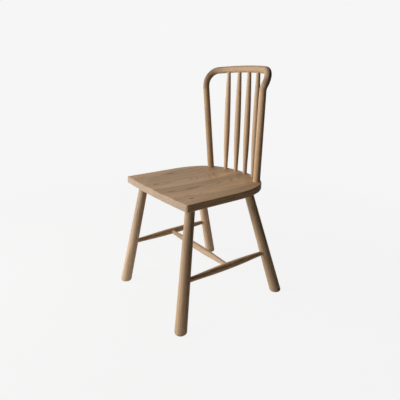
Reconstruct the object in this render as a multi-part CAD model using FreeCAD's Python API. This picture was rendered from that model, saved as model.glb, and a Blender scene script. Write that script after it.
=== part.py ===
import FreeCAD, Part
import math
import os

# Windsor dining chair in solid oak: a dished seat of glued boards, four splayed legs with an
# H of turned stretchers, and an open back of two posts and slim spindles under a bent crest rail.
#
# Millimetres. +Z is up and the chair faces -Y. Left and right are as seen from the front,
# so left is -X. The origin is on the floor under the middle of the chair.
# A name that ends in "back" is a distance behind the front of the seat.

# Seat
seat_height = 447.5
seat_thickness = 25.0
seat_width = 416.0
seat_depth = 423.0
seat_side_run = 216.0
seat_rear_fullness = 0.688
seat_front_bow = 7.5
seat_corner_radius = 8.0
seat_edge_round = 4.0
board_joints = (-95.0, 10.0, 95.0)

# Dish scooped out of the top of the seat, measured in from the seat's edges at its rim
dish_depth = 4.5
dish_side_inset = 45.0
dish_front_inset = 10.0
dish_rear_inset = 64.0
dish_deepest_back = 213.0
dish_squareness = 2.5
dish_wall_power = 3.0

# Legs: how far the axes lie inside the seat's edges under the seat, and outside them on the floor
leg_top_diameter = 32.5
leg_foot_diameter = 43.0
leg_foot_round = 7.0
front_leg_side_inset = 51.4
rear_leg_side_inset = 52.4
front_leg_front_inset = 55.5
rear_leg_rear_inset = 114.0
front_foot_side_splay = 2.5
rear_foot_side_splay = 7.5
front_foot_splay = 25.5
rear_foot_splay = 3.0
leg_tenon_diameter = 24.0
leg_tenon_length = 16.0

# Stretchers
stretcher_height = 174.5
side_stretcher_end_diameter = 17.0
side_stretcher_middle_diameter = 25.2
cross_stretcher_end_diameter = 15.5
cross_stretcher_middle_diameter = 25.0
stretcher_past_axis = 3.0
stretcher_neck = 3.0

# Back posts: how far the axes lie inside the seat's edges at the seat and at the crest rail
post_foot_diameter = 26.6
post_foot_side_inset = 69.7
post_foot_rear_inset = 57.0
post_top_side_inset = 49.7
post_top_rear_inset = 69.0
post_tenon_diameter = 18.0
post_tenon_length = 16.0

# Crest rail: a flat arc that leans back, with two round bends down to each post
crest_diameter = 24.6
crest_height = 842.4
crest_rear_inset = 9.0
crest_arc_radius = 385.0
crest_lean = 11.5
crest_bend_width = 29.7
crest_bend_lead = 10.75
crest_joint_drop = 72.9
crest_joint_ease = 0.4
crest_dowel_diameter = 9.0
crest_dowel_length = 32.0

# Spindles
spindle_count = 4
spindle_foot_spacing = 54.8
spindle_top_spacing = 53.8
spindle_rear_inset = 13.0
spindle_foot_diameter = 15.8
spindle_belly_diameter = 23.5
spindle_top_diameter = 14.8
spindle_belly_rise = 162.0
spindle_foot_depth = 16.0
spindle_past_axis = 3.0
spindle_neck = 3.0

# Turned swells: how far the neck and then the belly hold their direction, as shares of the run
# between them, and the slope of the neck
spindle_foot_swell = (0.31, 0.44, 0.010)
spindle_top_swell = (0.20, 0.50, 0.038)
stretcher_swell = (0.31, 0.50, 0.020)

# Fits of the glued joints
glue_gap = 0.1
socket_end_gap = 0.2
tenon_chamfer = 1.0

Vec = FreeCAD.Vector
ORIGIN = Vec(0, 0, 0)
ACROSS = Vec(1, 0, 0)
UP = Vec(0, 0, 1)
SIDES = {"left": -1, "right": 1}
ENDS = ("front", "rear")
seat_half_width = seat_width / 2
seat_underside = seat_height - seat_thickness
crest_joint_height = crest_height - crest_joint_drop
room = 2 * (seat_width + seat_depth)


# Shapes that several pieces use

def line(start, end):
    """A straight edge."""
    return Part.LineSegment(start, end).toShape()


def bezier(poles):
    """A smooth edge from its first pole to its last."""
    curve = Part.BezierCurve()
    curve.setPoles(poles)
    return curve.toShape()


def tangent_arc(start, corner, end):
    """The round bend between two lines that meet at the corner."""
    middle = (start + end) * 0.5
    cos_half = (end - start).Length / 2 / (corner - start).Length
    crown = middle + (corner - middle) * (cos_half / (1 + cos_half))
    return Part.Arc(start, crown, end).toShape()


def mirrored(shape):
    """The same shape on the other side of the chair."""
    return shape.mirror(ORIGIN, ACROSS)


def layer(bottom, top, left=-room, right=room):
    """A block of space between two heights, as wide as needed."""
    return Part.makeBox(right - left, 2 * room, top - bottom, Vec(left, -room, bottom))


def tapered(start, end, start_diameter, end_diameter, spare):
    """A tapered round bar that runs on past both ends by the spare length."""
    along = end - start
    growth = (end_diameter - start_diameter) / 2 * spare / along.Length
    unit = Vec(along).normalize()
    return Part.makeCone(start_diameter / 2 - growth, end_diameter / 2 + growth,
                         along.Length + 2 * spare, start - unit * spare, unit)


def pin(start, end, diameter):
    """A round pin with eased ends."""
    bar = Part.makeCylinder(diameter / 2, (end - start).Length, start, end - start)
    return bar.makeChamfer(tenon_chamfer, [edge for edge in bar.Edges if edge.Closed])


def drill(shape, mouth, bottom, diameter):
    """Drills the blind hole for a tenon, from outside its mouth to its bottom."""
    bit = Part.makeCylinder(diameter / 2 + glue_gap, (bottom - mouth).Length, mouth, bottom - mouth)
    return shape.cut(bit)


def swell(neck, belly, shape_of_swell):
    """Half of a turned swell: poles from the neck to the belly, each a radius and a height."""
    neck_hold, belly_hold, slope = shape_of_swell
    run = belly.z - neck.z
    return [neck,
            Vec(neck.x + abs(run) * neck_hold * slope, 0, neck.z + run * neck_hold),
            Vec(belly.x, 0, belly.z - run * belly_hold),
            belly]


def turned(start, end, first, belly, last):
    """
    A slim piece turned on the lathe from start to end, swelling between straight round ends.
    first and last are an end's diameter, straight length and swell; belly is the largest
    diameter and its distance from the start.
    """
    length = (end - start).Length
    middle = Vec(belly[0] / 2, 0, belly[1])
    low_radius, high_radius = first[0] / 2, last[0] / 2
    low_neck = Vec(low_radius, 0, first[1])
    high_neck = Vec(high_radius, 0, length - last[1])
    low = [ORIGIN, Vec(low_radius - tenon_chamfer, 0, 0), Vec(low_radius, 0, tenon_chamfer), low_neck]
    high = [high_neck, Vec(high_radius, 0, length - tenon_chamfer),
            Vec(high_radius - tenon_chamfer, 0, length), Vec(0, 0, length)]
    edges = [line(a, b) for a, b in zip(low, low[1:])]
    edges.append(bezier(swell(low_neck, middle, first[2])))
    edges.append(bezier(swell(high_neck, middle, last[2])))
    edges += [line(a, b) for a, b in zip(high, high[1:])]
    edges.append(line(high[-1], ORIGIN))
    half_section = Part.Face(Part.Wire(Part.__sortEdges__(edges)))
    piece = half_section.revolve(ORIGIN, UP, 360)
    piece.Placement = FreeCAD.Placement(start, FreeCAD.Rotation(UP, end - start))
    return piece


# Where the pieces stand

def leg_axis(side, end):
    """A leg's axis: its point under the seat, its point on the floor and its upward direction."""
    if end == "front":
        top = Vec(side * (seat_half_width - front_leg_side_inset), front_leg_front_inset, seat_underside)
        foot = Vec(side * (seat_half_width + front_foot_side_splay), -front_foot_splay, 0)
    else:
        leg_back = seat_depth - rear_leg_rear_inset
        top = Vec(side * (seat_half_width - rear_leg_side_inset), leg_back, seat_underside)
        foot = Vec(side * (seat_half_width + rear_foot_side_splay), seat_depth + rear_foot_splay, 0)
    return top, foot, (top - foot).normalize()


def stretcher_end(side, end):
    """Where a side stretcher's axis meets the leg's axis."""
    top, foot, _ = leg_axis(side, end)
    return foot + (top - foot) * (stretcher_height / seat_underside)


def side_stretcher_axis(side):
    """The side stretcher's ends on the leg axes, and its direction from front to rear."""
    front, rear = stretcher_end(side, "front"), stretcher_end(side, "rear")
    return front, rear, (rear - front).normalize()


def cross_stretcher_axis():
    """The cross stretcher's ends on the side stretchers' axes, and its direction to the right."""
    left_front, left_rear, _ = side_stretcher_axis(-1)
    left = (left_front + left_rear) * 0.5
    right = Vec(-left.x, left.y, left.z)
    return left, right, (right - left).normalize()


def post_axis(side):
    """A post's foot on the seat, its top at the crest rail, and its upward direction."""
    foot = Vec(side * (seat_half_width - post_foot_side_inset), seat_depth - post_foot_rear_inset,
               seat_height)
    top = Vec(side * (seat_half_width - post_top_side_inset), seat_depth - post_top_rear_inset,
              crest_joint_height)
    return foot, top, (top - foot).normalize()


def crest_point(x):
    """A point of the crest rail's axis along its flat arc."""
    sag = crest_arc_radius - math.sqrt(crest_arc_radius ** 2 - x ** 2)
    lean = math.radians(crest_lean)
    middle_back = seat_depth - crest_rear_inset
    return Vec(x, middle_back - sag * math.cos(lean), crest_height - sag * math.sin(lean))


def spindle_axis(index):
    """A spindle's point on the seat, its point on the crest rail's axis and its direction."""
    place = index - (spindle_count - 1) / 2
    foot_x = place * spindle_foot_spacing
    foot = Vec(foot_x, seat_rear_edge(foot_x) - spindle_rear_inset, seat_height)
    top = crest_point(place * spindle_top_spacing)
    return foot, top, (top - foot).normalize()


# Seat

def seat_rear_poles():
    """Poles of the curve from the end of the seat's right side to the middle of its rear."""
    run = seat_depth - seat_side_run
    return [Vec(seat_half_width, seat_side_run, 0),
            Vec(seat_half_width, seat_side_run + seat_rear_fullness * run, 0),
            Vec(seat_rear_fullness * seat_half_width, seat_depth, 0),
            Vec(0, seat_depth, 0)]


def seat_rear_edge(x):
    """How far back the seat's rear edge lies at a distance x from the middle."""
    curve = Part.BezierCurve()
    curve.setPoles(seat_rear_poles())
    inner, outer = 1.0, 0.0
    for _ in range(40):
        halfway = (inner + outer) / 2
        if curve.value(halfway).x < abs(x):
            inner = halfway
        else:
            outer = halfway
    return curve.value(inner).y


def seat_outline():
    """The seat seen from above: bowed front, straight sides and a full round rear."""
    left = Vec(-seat_half_width, seat_front_bow, seat_underside)
    right = Vec(seat_half_width, seat_front_bow, seat_underside)
    front = Part.Arc(left, Vec(0, 0, seat_underside), right).toShape()
    side = line(right, Vec(seat_half_width, seat_side_run, seat_underside))
    rear = bezier([pole + UP * seat_underside for pole in seat_rear_poles()])
    return Part.Wire(Part.__sortEdges__([front, side, rear, mirrored(rear), mirrored(side)]))


def dish_height(x, back):
    """Height of the dish's surface, which rises through the flat of the seat at the dish's rim."""
    if back > dish_deepest_back:
        reach = seat_depth - dish_rear_inset - dish_deepest_back
    else:
        reach = dish_deepest_back - dish_front_inset
    across = abs(x / (seat_half_width - dish_side_inset)) ** dish_squareness
    along = abs((back - dish_deepest_back) / reach) ** dish_squareness
    share = (across + along) ** (1 / dish_squareness)
    return seat_height - dish_depth * (1 - share ** dish_wall_power)


def dish_cutter():
    """Everything above the dish's surface."""
    steps = 24
    margin = 1.1
    half = (seat_half_width - dish_side_inset) * margin
    front = dish_deepest_back - (dish_deepest_back - dish_front_inset) * margin
    rear = dish_deepest_back + (seat_depth - dish_rear_inset - dish_deepest_back) * margin
    rows = []
    for i in range(steps + 1):
        x = half * (2 * i / steps - 1)
        backs = [front + (rear - front) * j / steps for j in range(steps + 1)]
        rows.append([Vec(x, back, dish_height(x, back)) for back in backs])
    surface = Part.BSplineSurface()
    surface.interpolate(rows)
    return surface.toShape().extrude(UP * seat_thickness)


def is_upright(edge):
    """True for an edge that runs up the side of the seat."""
    first, last = edge.Vertexes[0].Point, edge.Vertexes[-1].Point
    return abs(first.z - last.z) > seat_thickness / 2


def seat_form():
    """The whole seat before its holes are drilled."""
    slab = Part.Face(seat_outline()).extrude(UP * seat_thickness)
    corners = [edge for edge in slab.Edges
               if is_upright(edge) and edge.CenterOfMass.y < seat_front_bow + glue_gap]
    slab = slab.makeFillet(seat_corner_radius, corners)
    slab = slab.makeFillet(seat_edge_round, [edge for edge in slab.Edges if not is_upright(edge)])
    return slab.cut(dish_cutter())


def drilled_seat():
    """The seat with the blind holes for legs, posts and spindles."""
    seat = seat_form()
    for side in SIDES.values():
        for end in ENDS:
            top, _, up = leg_axis(side, end)
            bottom = top + up * (leg_tenon_length + socket_end_gap)
            seat = drill(seat, top - up * leg_top_diameter, bottom, leg_tenon_diameter)
        foot, _, up = post_axis(side)
        bottom = foot - up * (post_tenon_length + socket_end_gap)
        seat = drill(seat, foot + up * post_foot_diameter, bottom, post_tenon_diameter)
    for index in range(spindle_count):
        foot, _, up = spindle_axis(index)
        bottom = foot - up * (spindle_foot_depth + socket_end_gap)
        seat = drill(seat, foot + up * spindle_foot_diameter, bottom, spindle_foot_diameter)
    return seat


def seat_boards():
    """The seat's boards, parted along their glue lines."""
    seat = drilled_seat()
    joints = [-room, *board_joints, room]
    boards = {}
    for number, (left, right) in enumerate(zip(joints, joints[1:]), start=1):
        boards[f"seat_board_{number}"] = seat.common(layer(0, 2 * seat_height, left, right))
    return boards


# Legs and stretchers

def leg(side, end):
    """A tapered leg, cut level at the seat and at the floor, with its tenon and stretcher hole."""
    top, foot, up = leg_axis(side, end)
    bar = tapered(foot, top, leg_foot_diameter, leg_top_diameter, leg_foot_diameter)
    bar = bar.common(layer(0, seat_underside))
    sole = [edge for edge in bar.Edges if edge.BoundBox.ZMax < glue_gap]
    bar = bar.makeFillet(leg_foot_round, sole)
    bar = bar.fuse(pin(top - up * leg_tenon_diameter, top + up * leg_tenon_length, leg_tenon_diameter))
    front, rear, along = side_stretcher_axis(side)
    inward = along if end == "front" else -along
    centre = front if end == "front" else rear
    bottom = centre - inward * (stretcher_past_axis + socket_end_gap)
    return drill(bar, centre + inward * leg_foot_diameter, bottom, side_stretcher_end_diameter)


def leg_radius_at(height):
    """Half of a leg's thickness at a height above the floor."""
    share = height / seat_underside
    return (leg_foot_diameter + (leg_top_diameter - leg_foot_diameter) * share) / 2


def side_stretcher(side):
    """A turned stretcher between a front and a rear leg, with the cross stretcher's hole."""
    front, rear, along = side_stretcher_axis(side)
    start, end = front - along * stretcher_past_axis, rear + along * stretcher_past_axis
    straight = stretcher_past_axis + leg_radius_at(stretcher_height) + stretcher_neck
    tip = (side_stretcher_end_diameter, straight, stretcher_swell)
    belly = (side_stretcher_middle_diameter, (end - start).Length / 2)
    bar = turned(start, end, tip, belly, tip)
    left, right, across = cross_stretcher_axis()
    inward = across if side < 0 else -across
    centre = left if side < 0 else right
    bottom = centre - inward * (stretcher_past_axis + socket_end_gap)
    return drill(bar, centre + inward * side_stretcher_middle_diameter, bottom,
                 cross_stretcher_end_diameter)


def cross_stretcher():
    """The turned stretcher between the two side stretchers."""
    left, right, across = cross_stretcher_axis()
    start, end = left - across * stretcher_past_axis, right + across * stretcher_past_axis
    straight = stretcher_past_axis + side_stretcher_middle_diameter / 2 + stretcher_neck
    tip = (cross_stretcher_end_diameter, straight, stretcher_swell)
    belly = (cross_stretcher_middle_diameter, (end - start).Length / 2)
    return turned(start, end, tip, belly, tip)


# Back

def back_post(side):
    """An outer upright: shouldered on the seat, tenoned into it, and drilled for its dowel."""
    foot, top, up = post_axis(side)
    bar = tapered(foot, top, post_foot_diameter, crest_diameter, post_foot_diameter)
    joint = Part.makeCylinder(post_foot_diameter, (top - foot).Length, top, -up)
    bar = bar.common(joint).common(layer(seat_height, crest_height))
    rim = [edge for edge in bar.Edges if edge.Closed and (edge.CenterOfMass - top).Length < glue_gap]
    bar = bar.makeChamfer(crest_joint_ease, rim)
    bar = bar.fuse(pin(foot + up * post_tenon_diameter, foot - up * post_tenon_length,
                       post_tenon_diameter))
    bottom = top - up * (crest_dowel_length / 2 + socket_end_gap)
    return drill(bar, top + up * crest_dowel_diameter, bottom, crest_dowel_diameter)


def crest_arc_half_width():
    """How far the crest rail's flat arc runs to each side of the middle."""
    return seat_half_width - post_top_side_inset - crest_bend_width


def crest_bends():
    """The two tangent bends that take the crest rail's axis from the right post to its arc."""
    _, start, upward = post_axis(1)
    end = crest_point(crest_arc_half_width())
    lean = math.radians(crest_lean)
    turn = math.asin(crest_arc_half_width() / crest_arc_radius)
    inward = Vec(-math.cos(turn), math.sin(turn) * math.cos(lean), math.sin(turn) * math.sin(lean))
    chord = end - start
    rest = chord.dot(chord) / 2 - crest_bend_lead * chord.dot(upward)
    end_lead = rest / (chord.dot(inward) - crest_bend_lead * (upward.dot(inward) - 1))
    first_corner = start + upward * crest_bend_lead
    last_corner = end - inward * end_lead
    share = crest_bend_lead / (crest_bend_lead + end_lead)
    meeting = first_corner + (last_corner - first_corner) * share
    return [tangent_arc(start, first_corner, meeting), tangent_arc(meeting, last_corner, end)]


def crest_path():
    """The crest rail's axis from one post to the other."""
    bends = crest_bends()
    half_width = crest_arc_half_width()
    arc = Part.Arc(crest_point(-half_width), crest_point(0), crest_point(half_width))
    edges = [*bends, arc.toShape(), *[mirrored(bend) for bend in bends]]
    return Part.Wire(Part.__sortEdges__(edges))


def crest_rail():
    """The bent round rail, with its eased ends, dowel holes and spindle holes."""
    path = crest_path()
    _, start, upward = post_axis(1)
    section = Part.Wire(Part.Circle(start, upward, crest_diameter / 2).toShape())
    rail = path.makePipeShell([section], True, False)
    expected = math.pi * crest_diameter ** 2 / 4 * path.Length
    print(f"crest rail: axis {path.Length:.1f} mm, volume {rail.Volume / expected:.4f} of section x length")
    for side in SIDES.values():
        _, top, up = post_axis(side)
        rim = [edge for edge in rail.Edges if edge.Closed and (edge.CenterOfMass - top).Length < glue_gap]
        rail = rail.makeChamfer(crest_joint_ease, rim)
        bottom = top + up * (crest_dowel_length / 2 + socket_end_gap)
        rail = drill(rail, top - up * crest_dowel_diameter, bottom, crest_dowel_diameter)
    for index in range(spindle_count):
        _, top, up = spindle_axis(index)
        bottom = top + up * (spindle_past_axis + socket_end_gap)
        rail = drill(rail, top - up * crest_diameter, bottom, spindle_top_diameter)
    return rail


def crest_dowel(side):
    """The dowel hidden in the joint between a post and the crest rail."""
    _, top, up = post_axis(side)
    return pin(top - up * crest_dowel_length / 2, top + up * crest_dowel_length / 2, crest_dowel_diameter)


def back_spindle(index):
    """A slim turned spindle between the seat and the crest rail."""
    foot, top, up = spindle_axis(index)
    start, end = foot - up * spindle_foot_depth, top + up * spindle_past_axis
    low = (spindle_foot_diameter, spindle_foot_depth + spindle_neck, spindle_foot_swell)
    high = (spindle_top_diameter, spindle_past_axis + crest_diameter / 2 + spindle_neck,
            spindle_top_swell)
    belly = (spindle_belly_diameter, spindle_foot_depth + spindle_belly_rise)
    return turned(start, end, low, belly, high)


# The whole chair

def chair_pieces():
    """Every piece of the chair by name, measured back from the front of the seat."""
    pieces = seat_boards()
    for name, side in SIDES.items():
        for end in ENDS:
            pieces[f"leg_{end}_{name}"] = leg(side, end)
        pieces[f"side_stretcher_{name}"] = side_stretcher(side)
        pieces[f"back_post_{name}"] = back_post(side)
        pieces[f"crest_dowel_{name}"] = crest_dowel(side)
    pieces["cross_stretcher"] = cross_stretcher()
    pieces["crest_rail"] = crest_rail()
    for index in range(spindle_count):
        pieces[f"back_spindle_{index + 1}"] = back_spindle(index)
    return pieces


def middle_back(pieces):
    """The middle of the chair from front to rear, halfway between its farthest feet."""
    feet = Part.makeCompound([piece for name, piece in pieces.items() if name.startswith("leg")])
    box = feet.optimalBoundingBox(False, False)
    return (box.YMin + box.YMax) / 2


pieces = chair_pieces()
middle = middle_back(pieces)
print(f"origin lies {middle:.3f} mm behind the front of the seat")
os.makedirs("parts", exist_ok=True)
for name, piece in sorted(pieces.items()):
    solid = piece.Solids[0]
    solid.translate(Vec(0, -middle, 0))
    solid.exportStep(f"parts/{name}.step")
    print(f"{name}: {len(piece.Solids)} solid, {solid.Volume / 1000:.1f} cm3, valid {solid.isValid()}")
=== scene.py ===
# %% [markdown]
# # A Windsor dining chair in oak
#
# This lesson dresses a chair for a studio picture. The chair itself comes in as a fixed frame:
# twenty solid pieces, each already at its place, in metres, with the floor at height zero and the
# front of the chair towards -Y. What is left to do here is what makes wood look like wood, the
# one bent piece whose grain has to follow its bend, and the light and camera of the studio.

# %% Load the frame
import bpy
import math
import numpy as np
from mathutils import Matrix, Vector


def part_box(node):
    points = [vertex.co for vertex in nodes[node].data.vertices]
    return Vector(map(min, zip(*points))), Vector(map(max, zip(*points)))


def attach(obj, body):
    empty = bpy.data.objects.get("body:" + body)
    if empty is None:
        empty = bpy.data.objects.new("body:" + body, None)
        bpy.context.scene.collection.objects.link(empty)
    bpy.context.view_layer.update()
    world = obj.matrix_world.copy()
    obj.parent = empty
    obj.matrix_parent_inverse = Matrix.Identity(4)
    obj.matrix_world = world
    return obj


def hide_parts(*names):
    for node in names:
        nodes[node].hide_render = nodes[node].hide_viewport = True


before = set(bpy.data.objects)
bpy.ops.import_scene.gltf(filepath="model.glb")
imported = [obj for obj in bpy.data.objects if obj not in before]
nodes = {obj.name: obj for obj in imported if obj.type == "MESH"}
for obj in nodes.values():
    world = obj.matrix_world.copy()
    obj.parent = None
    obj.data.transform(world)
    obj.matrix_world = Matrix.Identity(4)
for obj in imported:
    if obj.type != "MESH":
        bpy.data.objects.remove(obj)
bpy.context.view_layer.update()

# %% [markdown]
# ## The camera
#
# The picture was taken from the front right, a little above the seat and quite close, so that
# near legs look longer than far ones. A camera could be aimed by eye with two angles. Here it gets
# three directions, right, up and back, because they also hold the small roll of the real camera.
# The middle of the picture lies a pixel or two beside the lens axis, which the shift takes up.

# %% Place the camera
PICTURE = 400
FOCAL_PIXELS = 367.185
AXIS_PIXEL = (200.388, 196.730)
SENSOR = 36.0

lens_place = Vector((1.074695, -0.773958, 0.827443))
right = Vector((0.58868022, 0.80836529, 0.00107392))
up = Vector((-0.25836494, 0.18689134, 0.94779702))
back = right.cross(up)

bpy.ops.object.select_all(action="DESELECT")
bpy.ops.object.camera_add()
camera = bpy.context.object
camera.name = "studio_camera"
turn = Matrix((right, up, back)).transposed()
camera.matrix_world = Matrix.Translation(lens_place) @ turn.to_4x4()
camera.data.sensor_width = SENSOR
camera.data.lens = SENSOR * FOCAL_PIXELS / PICTURE
camera.data.shift_x = (PICTURE / 2 - AXIS_PIXEL[0]) / PICTURE
camera.data.shift_y = (AXIS_PIXEL[1] - PICTURE / 2) / PICTURE
bpy.context.scene.camera = camera
print(f"camera {lens_place.length:.2f} m from the chair's foot, lens {camera.data.lens:.1f} mm")

# %% [markdown]
# ## The light
#
# The chair is lit by large soft boxes from the left of the picture: two in front, one low and one
# higher, one far behind and one at the side. That leaves the right of every turned piece in deep
# shade, and the seat, which the light only grazes, darker than its front edge. A square area lamp
# is the plainest way to make a soft box. Each is aimed at the middle of the chair and hidden from
# the camera, so that no other view looks into it.

# %% Hang the soft boxes
AIM = Vector((0.0, 0.0, 0.45))
BOX_DISTANCE = 2.2
BOX_SIZE = 1.3
LOWEST_BOX = 0.7


def soft_box(name, azimuth, elevation, power):
    """A square lamp at an angle round the chair, aimed at its middle. Azimuth 0 is in front."""
    turned, raised = math.radians(azimuth), math.radians(elevation)
    direction = Vector((math.sin(turned) * math.cos(raised), -math.cos(turned) * math.cos(raised),
                        math.sin(raised)))
    place = AIM + direction * BOX_DISTANCE
    place.z = max(place.z, LOWEST_BOX)
    bpy.ops.object.select_all(action="DESELECT")
    bpy.ops.object.light_add(type="AREA", location=place)
    lamp = bpy.context.object
    lamp.name = name
    lamp.rotation_euler = (place - AIM).to_track_quat("Z", "Y").to_euler()
    lamp.data.shape = "SQUARE"
    lamp.data.size = BOX_SIZE
    lamp.data.energy = power
    lamp.visible_camera = False
    print(f"{name}: {power} W from {azimuth} degrees, {elevation} degrees up")


soft_box("box_front_high", -15, 25, 46)
soft_box("box_front_low", -40, 2, 28)
soft_box("box_side", -115, 25, 10)
soft_box("box_behind", -165, 2, 7)

# %% [markdown]
# ## Wiring shaders
#
# A shader is a sum written as boxes and wires, and set up by hand each box takes four lines. These
# short helpers each make one box, take plain numbers as well as wires, and return the wire that
# comes out, so that a shader reads like the sum it is.

# %% Helpers for wiring
def feed(tree, socket, value):
    """Links a socket to another node's output, or sets it to a plain value."""
    if isinstance(value, bpy.types.NodeSocket):
        tree.links.new(value, socket)
    else:
        socket.default_value = value


def maths(tree, operation, *values):
    """A Math node on up to three values."""
    node = tree.nodes.new("ShaderNodeMath")
    node.operation = operation
    for socket, value in zip(node.inputs, values):
        feed(tree, socket, value)
    return node.outputs[0]


def vectors(tree, operation, *values, result="Vector"):
    """A Vector Math node on up to three values."""
    node = tree.nodes.new("ShaderNodeVectorMath")
    node.operation = operation
    for socket, value in zip(node.inputs, values):
        feed(tree, socket, value)
    return node.outputs[result]


def ramp(tree, value, low, high, start=0.0, end=1.0):
    """A smooth step: start up to low, end from high on."""
    node = tree.nodes.new("ShaderNodeMapRange")
    node.interpolation_type = "SMOOTHSTEP"
    feed(tree, node.inputs["Value"], value)
    for socket, number in (("From Min", low), ("From Max", high), ("To Min", start), ("To Max", end)):
        feed(tree, node.inputs[socket], number)
    return node.outputs["Result"]


def blended(tree, factor, first, second):
    """A Mix node on two colours."""
    node = tree.nodes.new("ShaderNodeMix")
    node.data_type = "RGBA"
    feed(tree, node.inputs["Factor"], factor)
    feed(tree, node.inputs[6], first)
    feed(tree, node.inputs[7], second)
    return node.outputs[2]

# %% [markdown]
# ## Floor and backdrop
#
# A real studio sweeps white paper up behind the chair. A wall would stand in the way of the views
# from the other sides, so there is only a wide pale floor, and a world of the same paleness above
# the horizon. To the camera the floor partly glows, as paper lit by lamps of its own does, and so
# the chair's shadow on it stays faint. All other rays meet plain matt paper, pale round the chair
# and darker further out, which throws soft light up under the seat and less of it on the back.

# %% Lay the floor
PAPER_NEAR, PAPER_FAR = (0.84, 0.80, 0.74, 1.0), (0.50, 0.47, 0.42, 1.0)
PAPER_FADES = (0.8, 1.8)
PAPER_GLOW = 0.92
GLOW_GROWS, GLOW_SHARES = (0.6, 2.2), (0.96, 1.0)
FLOOR_SIZE = 200

bpy.context.scene.view_settings.view_transform = "Standard"
bpy.ops.object.select_all(action="DESELECT")
bpy.ops.mesh.primitive_plane_add(size=FLOOR_SIZE)
floor = bpy.context.object
floor.name = "studio_floor"

paper = bpy.data.materials.new("studio_paper")
paper.use_nodes = True
tree = paper.node_tree
tree.nodes.clear()
where = tree.nodes.new("ShaderNodeTexCoord").outputs["Object"]
distance = vectors(tree, "LENGTH", where, result="Value")
matt = tree.nodes.new("ShaderNodeBsdfDiffuse")
feed(tree, matt.inputs["Color"],
     blended(tree, ramp(tree, distance, *PAPER_FADES), PAPER_NEAR, PAPER_FAR))
glow = tree.nodes.new("ShaderNodeEmission")
glow.inputs["Strength"].default_value = PAPER_GLOW
seen = tree.nodes.new("ShaderNodeLightPath").outputs["Is Camera Ray"]
mixed = tree.nodes.new("ShaderNodeMixShader")
glowing = ramp(tree, distance, *GLOW_GROWS, *GLOW_SHARES)
feed(tree, mixed.inputs[0], maths(tree, "MULTIPLY", seen, glowing))
feed(tree, mixed.inputs[1], matt.outputs[0])
feed(tree, mixed.inputs[2], glow.outputs[0])
output = tree.nodes.new("ShaderNodeOutputMaterial")
feed(tree, output.inputs["Surface"], mixed.outputs[0])
floor.data.materials.append(paper)
print(f"floor {FLOOR_SIZE} m wide, glowing at {PAPER_GLOW}")

# %% Fill the space above the horizon
SKY_SEEN = 0.92
SKY_LIGHT = 0.0

world = bpy.data.worlds.new("studio_air")
bpy.context.scene.world = world
world.use_nodes = True
tree = world.node_tree
background = tree.nodes["Background"]
background.inputs["Color"].default_value = (1.0, 1.0, 1.0, 1.0)
seen = tree.nodes.new("ShaderNodeLightPath").outputs["Is Camera Ray"]
level = maths(tree, "MULTIPLY_ADD", seen, SKY_SEEN - SKY_LIGHT, SKY_LIGHT)
feed(tree, background.inputs["Strength"], level)
print(f"the air looks {SKY_SEEN} bright and lights nothing")

# %% [markdown]
# ## Building a node group
#
# Wood is not a picture on a surface, it runs through the piece. A turned leg shows long lines on
# two of its sides and arches on the other two, and the front of the seat shows the ends of the
# same rings that run along its top. An image can't do that all round. A pattern in space can: it
# is worked out from the point itself, measured from the middle of the tree. Each effect is a node
# group, made once, with named inputs, and every piece's material places it with its own values.

# %% Helpers for groups
def new_group(name, inputs, outputs):
    """A shader group with named sockets. Returns its tree, its input node and its output node."""
    group = bpy.data.node_groups.new(name, "ShaderNodeTree")
    for socket, kind, value in inputs:
        made = group.interface.new_socket(socket, in_out="INPUT", socket_type=f"NodeSocket{kind}")
        if value is not None:
            made.default_value = value
    for socket, kind in outputs:
        group.interface.new_socket(socket, in_out="OUTPUT", socket_type=f"NodeSocket{kind}")
    return group, group.nodes.new("NodeGroupInput"), group.nodes.new("NodeGroupOutput")


def combined(tree, x=0.0, y=0.0, z=0.0):
    """A vector made of three values."""
    node = tree.nodes.new("ShaderNodeCombineXYZ")
    for socket, value in zip(node.inputs, (x, y, z)):
        feed(tree, socket, value)
    return node.outputs[0]


def noise(tree, place, scale, seed, detail=2.0, result="Fac"):
    """A four-dimensional noise, whose fourth coordinate is the seed of the piece."""
    node = tree.nodes.new("ShaderNodeTexNoise")
    node.noise_dimensions = "4D"
    feed(tree, node.inputs["Vector"], place)
    feed(tree, node.inputs["W"], seed)
    node.inputs["Scale"].default_value = scale
    node.inputs["Detail"].default_value = detail
    return node.outputs[result]

# %% [markdown]
# ## The growth of oak
#
# An oak adds a ring each year, about 2.5 mm wide. The spring part of the ring is full of open
# vessels and looks darker, and the summer part is dense and pale. The rings wander a little, more
# across the tree than along it, so the point is first pushed about by noise that is stretched
# along the grain. The distance from the pith then gives the year, its whole number the ring's own
# tone, and what is left over the season.

# %% Group: oak growth
DRIFT_STRETCH = (1.0, 1.0, 0.10)
WANDER = ((7.0, 0.016), (45.0, 0.0022))
SPRING_STARTS, SPRING_FADES = (0.0, 0.06), (0.08, 0.62)
POOREST_YEAR = 0.4
TONE_YEARS, TONE_ROUND = 0.22, 1.5
STREAKS_ACROSS, STREAKS_ALONG = 55.0, 2.2

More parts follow.
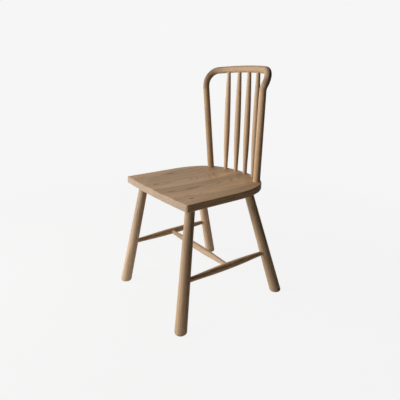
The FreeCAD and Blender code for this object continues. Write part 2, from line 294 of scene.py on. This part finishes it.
growth, given, made = new_group(
    "oak_growth",
    [("Place", "Vector", None), ("Ring Width", "Float", 0.0025), ("Seed", "Float", 0.0)],
    [("Spring", "Float"), ("Tone", "Float"), ("Rings Place", "Vector"), ("Streaks", "Float")])
place, seed = given.outputs["Place"], given.outputs["Seed"]
drawn_out = vectors(growth, "MULTIPLY", place, DRIFT_STRETCH)
pushed = place
for scale, reach in WANDER:
    swing = noise(growth, drawn_out, scale, seed, result="Color")
    swing = vectors(growth, "SUBTRACT", swing, (0.5, 0.5, 0.5))
    swing = vectors(growth, "MULTIPLY", swing, (reach, reach, 0.0))
    pushed = vectors(growth, "ADD", pushed, swing)
parts = growth.nodes.new("ShaderNodeSeparateXYZ")
feed(growth, parts.inputs[0], pushed)
across = vectors(growth, "MULTIPLY", pushed, (1.0, 1.0, 0.0))
radius = vectors(growth, "LENGTH", across, result="Value")
angle = maths(growth, "ARCTAN2", parts.outputs["Y"], parts.outputs["X"])
years = maths(growth, "DIVIDE", radius, given.outputs["Ring Width"])
season = maths(growth, "FRACT", years)
year = maths(growth, "FLOOR", years)
lot = growth.nodes.new("ShaderNodeTexWhiteNoise")
lot.noise_dimensions = "1D"
feed(growth, lot.inputs["W"], maths(growth, "ADD", year, seed))
vigour = maths(growth, "MULTIPLY_ADD", lot.outputs["Value"], 1.0 - POOREST_YEAR, POOREST_YEAR)
spring = ramp(growth, season, *SPRING_FADES, 1.0, 0.0)
spring = maths(growth, "MULTIPLY", spring, ramp(growth, season, *SPRING_STARTS))
spring = maths(growth, "MULTIPLY", spring, vigour)
slow_years = combined(growth, maths(growth, "MULTIPLY", years, TONE_YEARS),
                      maths(growth, "MULTIPLY", angle, TONE_ROUND))
tone = noise(growth, slow_years, 1.0, seed, detail=3.0)
streak_place = vectors(growth, "MULTIPLY", pushed, (STREAKS_ACROSS, STREAKS_ACROSS, STREAKS_ALONG))
streaks = noise(growth, streak_place, 1.0, seed, detail=3.0)
ring_place = combined(growth, radius, maths(growth, "MULTIPLY", angle, radius), parts.outputs["Z"])
for socket, value in (("Spring", spring), ("Tone", tone), ("Rings Place", ring_place),
                      ("Streaks", streaks)):
    feed(growth, made.inputs[socket], value)
print(f"group {growth.name}: {len(growth.nodes)} nodes")

# %% [markdown]
# ## Vessels and rays
#
# Close up, oak has two marks that no other pale wood has. The open vessels of spring wood show as
# fine dark scratches a few millimetres long, and as dots on a cut end. The rays, thin plates that
# run out from the pith, show as short pale flecks where the cut runs along them. Both are noise
# cut off at a level, stretched along the tree for the vessels, and outward and along for the rays.

# %% Group: oak vessels
VESSEL_ACROSS = 2600.0
VESSEL_ALONG = 150.0
SUMMER_LEVEL, SPRING_LOWERS = 0.66, -0.16
VESSEL_EDGE = 0.06

vessels, given, made = new_group(
    "oak_vessels",
    [("Place", "Vector", None), ("Spring", "Float", 0.5), ("Seed", "Float", 0.0)],
    [("Mask", "Float")])
fine = vectors(vessels, "MULTIPLY", given.outputs["Place"],
               (VESSEL_ACROSS, VESSEL_ACROSS, VESSEL_ALONG))
grains = noise(vessels, fine, 1.0, given.outputs["Seed"], detail=1.0)
crowding = maths(vessels, "MULTIPLY_ADD", given.outputs["Spring"], SPRING_LOWERS, SUMMER_LEVEL)
level = maths(vessels, "SUBTRACT", grains, crowding)
feed(vessels, made.inputs["Mask"], ramp(vessels, level, 0.0, VESSEL_EDGE))
print(f"group {vessels.name}: {len(vessels.nodes)} nodes")

# %% Group: oak rays
RAY_OUTWARD = 45.0
RAY_THIN = 1500.0
RAY_ALONG = 110.0
RAY_LEVELS = (0.60, 0.70)

rays, given, made = new_group(
    "oak_rays",
    [("Rings Place", "Vector", None), ("Seed", "Float", 0.0)],
    [("Mask", "Float")])
plates = vectors(rays, "MULTIPLY", given.outputs["Rings Place"], (RAY_OUTWARD, RAY_THIN, RAY_ALONG))
grains = noise(rays, plates, 1.0, given.outputs["Seed"], detail=1.0)
feed(rays, made.inputs["Mask"], ramp(rays, grains, *RAY_LEVELS))
print(f"group {rays.name}: {len(rays.nodes)} nodes")

# %% [markdown]
# ## Knots, glue lines and end grain
#
# Where a branch started, the layers of the tree rise round it, and a level cut shows rings within
# rings about a dark spot. So a knot needs two things: a push that lifts the wood's layers near it,
# applied before the growth is worked out, and a mask for its dark heart. A glue line is a hair of
# darkness where two boards meet. End grain drinks more of the finish, so it is told apart by the
# angle between the surface and the grain.

# %% Group: knot
KNOT_STRETCH = (1.0, 0.45, 0.0)
RIPPLE_SCALE, RIPPLE_REACH = 120.0, (0.006, 0.006, 0.0)
HEART_EDGE = (0.5, 1.3)

knot, given, made = new_group(
    "knot",
    [("Place", "Vector", None), ("Centre", "Vector", (0.0, 0.0, 0.0)), ("Size", "Float", 0.004),
     ("Lift", "Float", 0.01), ("Spread", "Float", 0.02)],
    [("Place", "Vector"), ("Heart", "Float")])
offset = vectors(knot, "SUBTRACT", given.outputs["Place"], given.outputs["Centre"])
flat = vectors(knot, "MULTIPLY", offset, KNOT_STRETCH)
ripple = noise(knot, given.outputs["Place"], RIPPLE_SCALE, 3.0, result="Color")
ripple = vectors(knot, "SUBTRACT", ripple, (0.5, 0.5, 0.5))
ripple = vectors(knot, "MULTIPLY", ripple, RIPPLE_REACH)
gap = vectors(knot, "LENGTH", vectors(knot, "ADD", flat, ripple), result="Value")
share = maths(knot, "DIVIDE", gap, given.outputs["Spread"])
bell = maths(knot, "EXPONENT", maths(knot, "MULTIPLY", maths(knot, "MULTIPLY", share, share), -1.0))
lift = combined(knot, z=maths(knot, "MULTIPLY", bell, given.outputs["Lift"]))
feed(knot, made.inputs["Place"], vectors(knot, "ADD", given.outputs["Place"], lift))
near = maths(knot, "DIVIDE", gap, given.outputs["Size"])
feed(knot, made.inputs["Heart"], ramp(knot, near, *HEART_EDGE, 1.0, 0.0))
print(f"group {knot.name}: {len(knot.nodes)} nodes")

# %% Group: glue lines
GLUE_EDGE = (0.4, 1.0)

glue, given, made = new_group(
    "glue_lines",
    [("Along", "Float", 0.0), ("Low", "Float", -1.0), ("High", "Float", 1.0),
     ("Width", "Float", 0.0003)],
    [("Mask", "Float")])
from_low = maths(glue, "SUBTRACT", given.outputs["Along"], given.outputs["Low"])
from_high = maths(glue, "SUBTRACT", given.outputs["High"], given.outputs["Along"])
nearest = maths(glue, "MINIMUM", from_low, from_high)
share = maths(glue, "DIVIDE", nearest, given.outputs["Width"])
feed(glue, made.inputs["Mask"], ramp(glue, share, *GLUE_EDGE, 1.0, 0.0))
print(f"group {glue.name}: {len(glue.nodes)} nodes")

# %% Group: end grain
END_FACING = (0.62, 0.95)

ends, given, made = new_group(
    "end_grain",
    [("Normal", "Vector", None), ("Grain Direction", "Vector", (0.0, 0.0, 1.0))],
    [("Mask", "Float")])
facing = vectors(ends, "DOT_PRODUCT", given.outputs["Normal"], given.outputs["Grain Direction"],
                 result="Value")
feed(ends, made.inputs["Mask"], ramp(ends, maths(ends, "ABSOLUTE", facing), *END_FACING))
print(f"group {ends.name}: {len(ends.nodes)} nodes")

# %% [markdown]
# ## The finish
#
# The chair has a thin matt lacquer over pale oiled oak. The shader stays in the material itself,
# and the groups only tell it where the wood is dark, rough or low. The colours are mixed in the
# order in which a finish takes to wood: the tone of the board, its rings, the vessels, the rays,
# and then the ends, knots and glue lines. Bump is worth having only for the vessels and the rings,
# a tenth of a millimetre deep.

# %% Material: oak
PALE_OAK = (0.51, 0.375, 0.255, 1.0)
WARM_OAK = (0.52, 0.340, 0.195, 1.0)
SPRING_DARKENS = (0.60, 0.53, 0.46, 1.0)
VESSEL_BROWN = (0.13, 0.075, 0.040, 1.0)
RAY_CREAM = (0.60, 0.435, 0.285, 1.0)
END_OAK = (0.315, 0.249, 0.195, 1.0)
KNOT_BROWN = (0.12, 0.065, 0.035, 1.0)
GLUE_BROWN = (0.12, 0.08, 0.05, 1.0)
SPRING_SHOWS, RAYS_SHOW, VESSELS_SHOW = 0.8, 0.22, 0.45
ENDS_SHOW, KNOTS_SHOW, GLUE_SHOWS = 0.8, 0.75, 0.6
TONE_SWING, STREAK_SWING, BAND_WANDER = 0.45, 0.30, 0.04
SHEEN = 0.12
ROUGH_WOOD, ROUGHER_VESSELS = 0.62, 0.2
VESSEL_DEPTH, SPRING_SINKS, BUMP_STRENGTH = 0.00015, -0.3, 0.5


def placed(tree, group, **inputs):
    """Puts a group into a material with its own values."""
    node = tree.nodes.new("ShaderNodeGroup")
    node.node_tree = group
    for name, value in inputs.items():
        feed(tree, node.inputs[name.replace("_", " ").title()], value)
    return node


def laid(tree, mask, share, under, over):
    """A colour laid over another where a mask says so, as strongly as the share allows."""
    return blended(tree, maths(tree, "MULTIPLY", mask, share), under, over)


def grain_turn(direction, roll):
    """A turn that takes the tree's upward direction to the piece's grain."""
    return direction.to_track_quat("Z", "Y").to_matrix() @ Matrix.Rotation(roll, 3, "Z")


def oak(name, pith, direction, roll, seed, ring_width=0.0025, tone=1.0, warmth=0.5, knots=(),
        glued=None, bands=(), attribute=None):
    """Oak whose pith passes through a point along a direction, with its own seed, tone and warmth.
    What is glued is given as an axis letter and the two places along it where the joints are, and
    each band as an axis letter, the two places between which the tone changes, and by how much."""
    material = bpy.data.materials.new(name)
    material.use_nodes = True
    tree = material.node_tree
    shader = tree.nodes["Principled BSDF"]
    shader.inputs["Specular IOR Level"].default_value = SHEEN
    if attribute:
        source = tree.nodes.new("ShaderNodeAttribute")
        source.attribute_name = attribute
        here = source.outputs["Vector"]
    else:
        here = tree.nodes.new("ShaderNodeTexCoord").outputs["Object"]
    surface, hearts = here, []
    for centre, size, lift, spread in knots:
        node = placed(tree, knot, place=here, centre=centre, size=size, lift=lift, spread=spread)
        here = node.outputs["Place"]
        hearts.append(node.outputs["Heart"])
    mapping = tree.nodes.new("ShaderNodeMapping")
    mapping.vector_type = "TEXTURE"
    mapping.inputs["Location"].default_value = pith
    mapping.inputs["Rotation"].default_value = grain_turn(direction, roll).to_euler("XYZ")
    feed(tree, mapping.inputs["Vector"], here)
    in_tree = mapping.outputs["Vector"]

    rings = placed(tree, growth, place=in_tree, ring_width=ring_width, seed=seed)
    pores = placed(tree, vessels, place=in_tree, spring=rings.outputs["Spring"], seed=seed)
    flecks = placed(tree, rays, rings_place=rings.outputs["Rings Place"], seed=seed)

    summer = [cool + (warm - cool) * warmth for cool, warm in zip(PALE_OAK, WARM_OAK)]
    spring = [pale * share for pale, share in zip(summer, SPRING_DARKENS)]
    colour = laid(tree, rings.outputs["Spring"], SPRING_SHOWS, summer, spring)
    bright = maths(tree, "MULTIPLY_ADD", rings.outputs["Tone"], TONE_SWING, tone - TONE_SWING / 2)
    swing = maths(tree, "MULTIPLY_ADD", rings.outputs["Streaks"], STREAK_SWING, -STREAK_SWING / 2)
    bright = maths(tree, "ADD", bright, swing)
    sides = tree.nodes.new("ShaderNodeSeparateXYZ")
    feed(tree, sides.inputs[0], surface)
    wander = maths(tree, "MULTIPLY_ADD", rings.outputs["Streaks"], BAND_WANDER, -BAND_WANDER / 2)
    for axis, start, end, amount in bands:
        edge = ramp(tree, maths(tree, "ADD", sides.outputs[axis], wander), start, end, 0.0, amount)
        bright = maths(tree, "ADD", bright, edge)
    toned = tree.nodes.new("ShaderNodeHueSaturation")
    feed(tree, toned.inputs["Value"], bright)
    feed(tree, toned.inputs["Color"], colour)
    colour = laid(tree, flecks.outputs["Mask"], RAYS_SHOW, toned.outputs["Color"], RAY_CREAM)
    colour = laid(tree, pores.outputs["Mask"], VESSELS_SHOW, colour, VESSEL_BROWN)
    if not attribute:
        normal = tree.nodes.new("ShaderNodeNewGeometry").outputs["Normal"]
        cut = placed(tree, ends, normal=normal, grain_direction=direction)
        colour = laid(tree, cut.outputs["Mask"], ENDS_SHOW, colour, END_OAK)
    for heart in hearts:
        colour = laid(tree, heart, KNOTS_SHOW, colour, KNOT_BROWN)
    if glued:
        seam = placed(tree, glue, along=sides.outputs[glued[0]], low=glued[1], high=glued[2])
        colour = laid(tree, seam.outputs["Mask"], GLUE_SHOWS, colour, GLUE_BROWN)
    feed(tree, shader.inputs["Base Color"], colour)
    rough = maths(tree, "MULTIPLY_ADD", pores.outputs["Mask"], ROUGHER_VESSELS, ROUGH_WOOD)
    feed(tree, shader.inputs["Roughness"], rough)
    depth = maths(tree, "MULTIPLY_ADD", rings.outputs["Spring"], SPRING_SINKS, 1.0)
    bump = tree.nodes.new("ShaderNodeBump")
    bump.inputs["Strength"].default_value = BUMP_STRENGTH
    bump.inputs["Distance"].default_value = VESSEL_DEPTH
    feed(tree, bump.inputs["Height"], maths(tree, "SUBTRACT", depth, pores.outputs["Mask"]))
    feed(tree, shader.inputs["Normal"], bump.outputs["Normal"])
    return material


# %% [markdown]
# ## Which way the tree stood in each piece
#
# A turned piece is split along the grain, so its axis is the grain. It needn't be typed in: the
# longest direction of the piece's own points gives it. The pith then lies some way to the side,
# as the piece was sawn out of a wide plank, and is tilted a degree or so, which makes the arches.

# %% Give the turned pieces their oak
UP_OR_BACK = (0.2, 0.4, 1.0)


def long_axis(node):
    """The middle of a piece and the direction in which it is longest, pointing up or back."""
    points = np.array([vertex.co for vertex in nodes[node].data.vertices])
    middle = (points.min(0) + points.max(0)) / 2
    _, _, directions = np.linalg.svd(points - points.mean(0), full_matrices=False)
    direction = Vector(directions[0])
    if direction.dot(UP_OR_BACK) < 0:
        direction.negate()
    return Vector(middle), direction.normalized()


def wear(node, material):
    """Puts a material on a CAD piece."""
    piece = nodes[node]
    piece.data.materials.clear()
    piece.data.materials.append(material)


# Each piece's tone and warmth, partly the wood's own colour and partly painted light: the rear legs and
# the right side stretcher, which lie further in shade, are painted lighter in place of more light
# reaching them.
TONES_AND_PAINTED_LIGHT = {
    "leg_front_left": (1.10, 0.0), "leg_front_right": (0.99, 0.6),
    "leg_rear_left": (1.30, 0.1), "leg_rear_right": (1.20, 0.3),
    "side_stretcher_left": (1.10, 0.6), "side_stretcher_right": (1.36, 0.6),
    "cross_stretcher": (0.94, 0.1),
    "back_post_left": (0.75, 0.9), "back_post_right": (1.13, 0.9),
    "back_spindle_1": (1.17, 0.2), "back_spindle_2": (1.10, 0.2),
    "back_spindle_3": (1.06, 0.3), "back_spindle_4": (1.08, 0.1),
}
# Painted shade: three legs are painted darker towards the top, standing in for the shadow the seat
# casts over them.
LEG_PAINTED_SEAT_SHADE = {
    "leg_front_left": [("Z", 0.10, 0.38, -0.30)],
    "leg_front_right": [("Z", 0.10, 0.36, -0.22)],
    "leg_rear_right": [("Z", 0.15, 0.40, -0.10)],
}
PLANK_REACH = 0.085
TILT = math.radians(1.4)
GOLDEN_TURN = math.radians(137.5)
turned_pieces = sorted(name for name in nodes if not name.startswith(("seat", "crest_rail")))
for number, name in enumerate(turned_pieces):
    middle, direction = long_axis(name)
    roll = number * GOLDEN_TURN
    frame_turn = grain_turn(direction, roll)
    pith = middle - frame_turn @ Vector((PLANK_REACH, 0.0, 0.0))
    leaning = (direction + frame_turn @ Vector((0.0, TILT, 0.0))).normalized()
    tone, warmth = TONES_AND_PAINTED_LIGHT.get(name, (1.0, 0.6))
    wear(name, oak(f"oak_{name}", pith, leaning, roll, 3.7 * number + 1.0, tone=tone, warmth=warmth,
                   bands=LEG_PAINTED_SEAT_SHADE.get(name, ())))
    print(f"{name}: grain along {[round(v, 2) for v in direction]}")

# %% Give the boards of the seat their oak
BOARDS = {
    "seat_board_1": dict(pith_x=-0.150, pith_drop=0.070, tilt=0.020, tone=1.00, seed=11.0,
                         ring_width=0.0025, bands=[("X", -0.150, -0.200, 0.08)]),
    "seat_board_2": dict(pith_x=-0.045, pith_drop=0.050, tilt=0.035, tone=1.04, seed=23.0,
                         ring_width=0.0034, bands=[("X", -0.048, -0.022, 0.16)]),
    "seat_board_3": dict(pith_x=0.060, pith_drop=0.080, tilt=-0.025, tone=0.97, seed=37.0,
                         ring_width=0.0028, bands=[("X", 0.040, 0.090, 0.14)]),
    "seat_board_4": dict(pith_x=0.135, pith_drop=0.060, tilt=0.015, tone=1.12, seed=41.0,
                         ring_width=0.0030,
                         # Painted light: the second band on board 4 makes the seat's right side face
                         # and the rounding above it lighter, standing in for light bounced up from the
                         # floor.
                         bands=[("X", 0.145, 0.115, 0.18), ("X", 0.190, 0.212, 0.20)]),
}
seat_front, seat_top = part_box("seat_board_2")[0].y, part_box("seat_board_2")[1].z
KNOTS = {
    "seat_board_4": [((0.160, seat_front + 0.058, seat_top), 0.0045, 0.010, 0.022)],
    "seat_board_2": [((-0.040, seat_front + 0.330, seat_top), 0.0005, 0.026, 0.045)],
}
for name, board in BOARDS.items():
    low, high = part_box(name)
    pith = Vector((board["pith_x"], seat_front, seat_top - board["pith_drop"]))
    direction = Vector((0.0, 1.0, board["tilt"])).normalized()
    outer_left = low.x - 1.0 if name == "seat_board_1" else low.x
    outer_right = high.x + 1.0 if name == "seat_board_4" else high.x
    wear(name, oak(f"oak_{name}", pith, direction, 0.0, board["seed"], board["ring_width"],
                   board["tone"], warmth=1.0, knots=KNOTS.get(name, ()),
                   glued=("X", outer_left, outer_right), bands=board["bands"]))
    print(f"{name}: {1000 * (high.x - low.x):.0f} mm wide")

# %% [markdown]
# ## The crest rail
#
# The crest rail is a single rod, steamed and bent: a tight bend over each post, and between the
# bends a long flat arc that leans back. Its grain follows the bend, which no straight tree in space
# can give, so this piece is made anew. A curve with a round section would give the shape, but a
# bender thinks in turns about a centre, and so does Spin. The round end over the left post is
# turned about five centres, one after another, each chosen so that the rod leaves one turn in
# exactly the direction in which it enters the next.

# %% Helpers for a bent rod
def leaving_arc(start, corner, end):
    """The centre, axis and angle of the arc that leaves start towards a corner and ends at end."""
    first, second = (corner - start).normalized(), (end - corner).normalized()
    angle = first.angle(second)
    radius = (corner - start).length / math.tan(angle / 2)
    inward = (second - first * first.dot(second)).normalized()
    return start + inward * radius, first.cross(second).normalized(), angle


def mirrored(point):
    """The same place on the other side of the chair."""
    return Vector((-point.x, point.y, point.z))


# %% Work out the five turns
POST_TOP = Vector((-0.1583, seat_front + 0.354, 0.7695))
POST_RISE = Vector((-0.020, -0.012, 0.322)).normalized()
CREST_MIDDLE = Vector((0.0, seat_front + 0.414, 0.8424))
ARC_RADIUS, ARC_HALF_WIDTH, ARC_LEAN = 0.385, 0.1286, math.radians(11.5)
LEAD = 0.01075

arc_back = Vector((0.0, math.cos(ARC_LEAN), math.sin(ARC_LEAN)))
arc_centre = CREST_MIDDLE - arc_back * ARC_RADIUS
arc_turn = math.asin(ARC_HALF_WIDTH / ARC_RADIUS)
arc_start = arc_centre + arc_back * ARC_RADIUS * math.cos(arc_turn) - Vector((ARC_HALF_WIDTH, 0.0, 0.0))
entering = Vector((math.cos(arc_turn), 0.0, 0.0)) + arc_back * math.sin(arc_turn)
across = arc_start - POST_TOP
end_lead = ((across.length_squared / 2 - LEAD * across.dot(POST_RISE))
            / (across.dot(entering) - LEAD * (POST_RISE.dot(entering) - 1)))
low_corner, high_corner = POST_TOP + POST_RISE * LEAD, arc_start - entering * end_lead
meeting = low_corner.lerp(high_corner, LEAD / (LEAD + end_lead))
turns = [leaving_arc(POST_TOP, low_corner, meeting),
         leaving_arc(meeting, high_corner, arc_start),
         (arc_centre, Vector((1.0, 0.0, 0.0)).cross(arc_back) * -1.0, 2 * arc_turn),
         leaving_arc(mirrored(arc_start), mirrored(high_corner), mirrored(meeting)),
         leaving_arc(mirrored(meeting), mirrored(low_corner), mirrored(POST_TOP))]
for centre, axis, angle in turns:
    print(f"turn {math.degrees(angle):.1f} degrees about {[round(v, 3) for v in centre]}")

# %% Bend the rod
ROD_RADIUS = 0.0123
ROD_SIDES = 64
TURN_STEPS = (10, 24, 72, 24, 10)

bpy.ops.object.select_all(action="DESELECT")
bpy.ops.mesh.primitive_circle_add(vertices=ROD_SIDES, radius=ROD_RADIUS, location=POST_TOP,
                                  rotation=POST_RISE.to_track_quat("Z", "Y").to_euler())
crest = bpy.context.object
crest.name = "crest_rail_bent"
bpy.ops.object.transform_apply(location=True, rotation=True, scale=True)
bpy.ops.object.mode_set(mode="EDIT")
bpy.ops.mesh.select_all(action="SELECT")
for (centre, axis, angle), steps in zip(turns, TURN_STEPS):
    bpy.ops.mesh.spin(steps=steps, angle=-angle, center=centre, axis=axis)
bpy.ops.object.mode_set(mode="OBJECT")
last_ring = np.array([vertex.co for vertex in crest.data.vertices if vertex.select])
error = (Vector(last_ring.mean(0)) - mirrored(POST_TOP)).length
print(f"{len(crest.data.vertices)} points, the rod ends {1000 * error:.3f} mm from the right post")

# %% [markdown]
# ## Closing the rod
#
# Spin leaves a tube. Each open ring is filled with one face, whose edge is broken by a small bevel,
# as the end of a turned rod is: that makes the fine groove where the rail meets its post. The new
# faces and the five turns don't all face the same way, so the normals are worked out afresh.

# %% Close and round the ends
ROUNDING = 0.0005
SAME_PLACE = 0.00001
SHARP_ANGLE = math.radians(30)

crest_mesh = crest.data
bpy.ops.object.mode_set(mode="EDIT")
bpy.ops.mesh.select_all(action="SELECT")
bpy.ops.mesh.remove_doubles(threshold=SAME_PLACE)
bpy.ops.mesh.select_all(action="DESELECT")
bpy.ops.mesh.select_mode(type="EDGE")
bpy.ops.mesh.select_non_manifold()
bpy.ops.mesh.edge_face_add()
bpy.ops.mesh.bevel(offset=ROUNDING, segments=2, affect="EDGES")
bpy.ops.mesh.select_all(action="SELECT")
bpy.ops.mesh.normals_make_consistent(inside=False)
bpy.ops.object.mode_set(mode="OBJECT")
bpy.ops.object.shade_smooth_by_angle(angle=SHARP_ANGLE)
print(f"{len(crest_mesh.polygons)} faces, box {[round(v, 4) for v in crest.dimensions]}")

# %% [markdown]
# ## Grain that follows the bend
#
# To know where it lies in the rod before bending, each point looks for the nearest place on the
# rod's middle line. How far along that is, and how far the point stands off it to each side, are
# three numbers in metres, and they are kept on the mesh as an attribute. The oak material reads it
# in place of the point itself, and so its rings, vessels and rays run round the bend with the rod.

# %% Straighten the rod on paper
PLACES_PER_TURN = 400


def middle_line():
    """Places along the rod with how far along each is and the two sideways directions there."""
    place, frame_here, travelled = POST_TOP, POST_RISE.to_track_quat("Z", "Y").to_matrix(), 0.0
    rows = []
    for centre, axis, angle in turns:
        radius = (place - centre).length
        for number in range(PLACES_PER_TURN + 1):
            turned = Matrix.Rotation(angle * number / PLACES_PER_TURN, 3, axis)
            here, directions = centre + turned @ (place - centre), turned @ frame_here
            length = travelled + radius * angle * number / PLACES_PER_TURN
            rows.append((*here, length, *directions.col[0], *directions.col[1]))
        place, frame_here, travelled = here, directions, length
    return np.array(rows), travelled


line, rod_length = middle_line()
points = np.array([vertex.co for vertex in crest_mesh.vertices])
nearest = np.array([((line[:, :3] - point) ** 2).sum(1).argmin() for point in points])
offset = points - line[nearest, :3]
first = (offset * line[nearest, 4:7]).sum(1)
second = (offset * line[nearest, 7:10]).sum(1)
grain = crest_mesh.attributes.new("grain", "FLOAT_VECTOR", "POINT")
grain.data.foreach_set("vector", np.column_stack((first, second, line[nearest, 3])).ravel())
print(f"the rod is {1000 * rod_length:.0f} mm long before bending")

# %% Put the crest rail in its place
ROD_PITH = Vector((0.02, -0.07, 0.0))
ROD_TILT = Vector((0.018, 0.010, 1.0)).normalized()

# The rail is darker from the left post to about 60 mm along and back to its tone by 170 mm, and darker
# again from 410 mm, mostly back by 446 mm.
CREST_TONE_ALONG_ROD = [("Z", -0.020, 0.010, -0.32), ("Z", 0.040, 0.052, -0.14), ("Z", 0.060, 0.170, 0.46),
             ("Z", 0.410, 0.424, -0.30), ("Z", 0.430, 0.446, 0.26)]
crest_oak = oak("oak_crest_rail", ROD_PITH, ROD_TILT, 0.0, 77.0, tone=0.95, warmth=0.6,
                glued=("Z", 0.0, rod_length), bands=CREST_TONE_ALONG_ROD, attribute="grain")
crest_mesh.materials.append(crest_oak)
nodes["crest_rail"].data.materials.clear()
nodes["crest_rail"].data.materials.append(crest_oak)
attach(crest, "root")
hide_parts("crest_rail")
